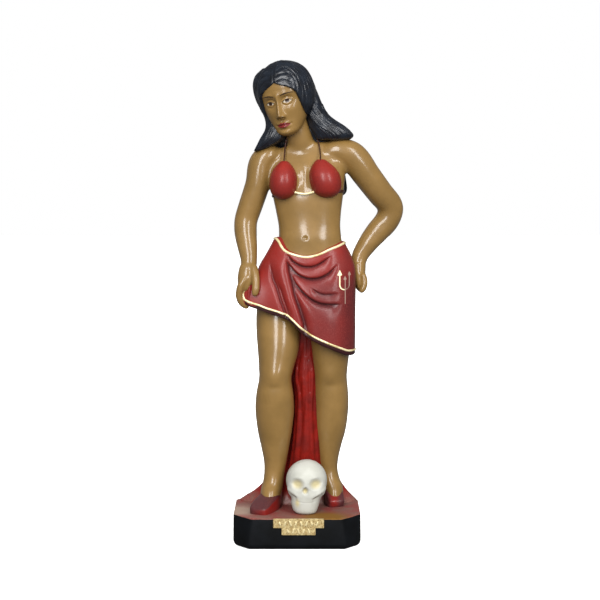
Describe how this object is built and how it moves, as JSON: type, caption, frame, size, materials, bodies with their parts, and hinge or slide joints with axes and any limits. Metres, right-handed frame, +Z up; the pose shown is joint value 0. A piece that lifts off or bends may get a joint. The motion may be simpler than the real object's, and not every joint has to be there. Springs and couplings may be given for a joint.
{
  "type": "pomba gira statue",
  "caption": "Small painted plaster statue of a standing woman in a wrapped skirt, with a skull at her feet, on a low base.",
  "frame": {"origin": "middle of the base's underside", "axes": "+Z up, the figure faces -Y, +X towards its left hand"},
  "size_m": [0.1058, 0.0695, 0.2999],
  "materials": {
    "statue_paint": "glossy varnish over painted plaster, mainly brown",
    "skull_paint": "satin off-white paint over plaster",
    "plate_paint": "gold paint with a brown wash over plaster"
  },
  "bodies": {
    "root": {"statue_with_base": "statue_paint", "skull": "skull_paint", "name_plate": "plate_paint"}
  },
  "joints": []
}
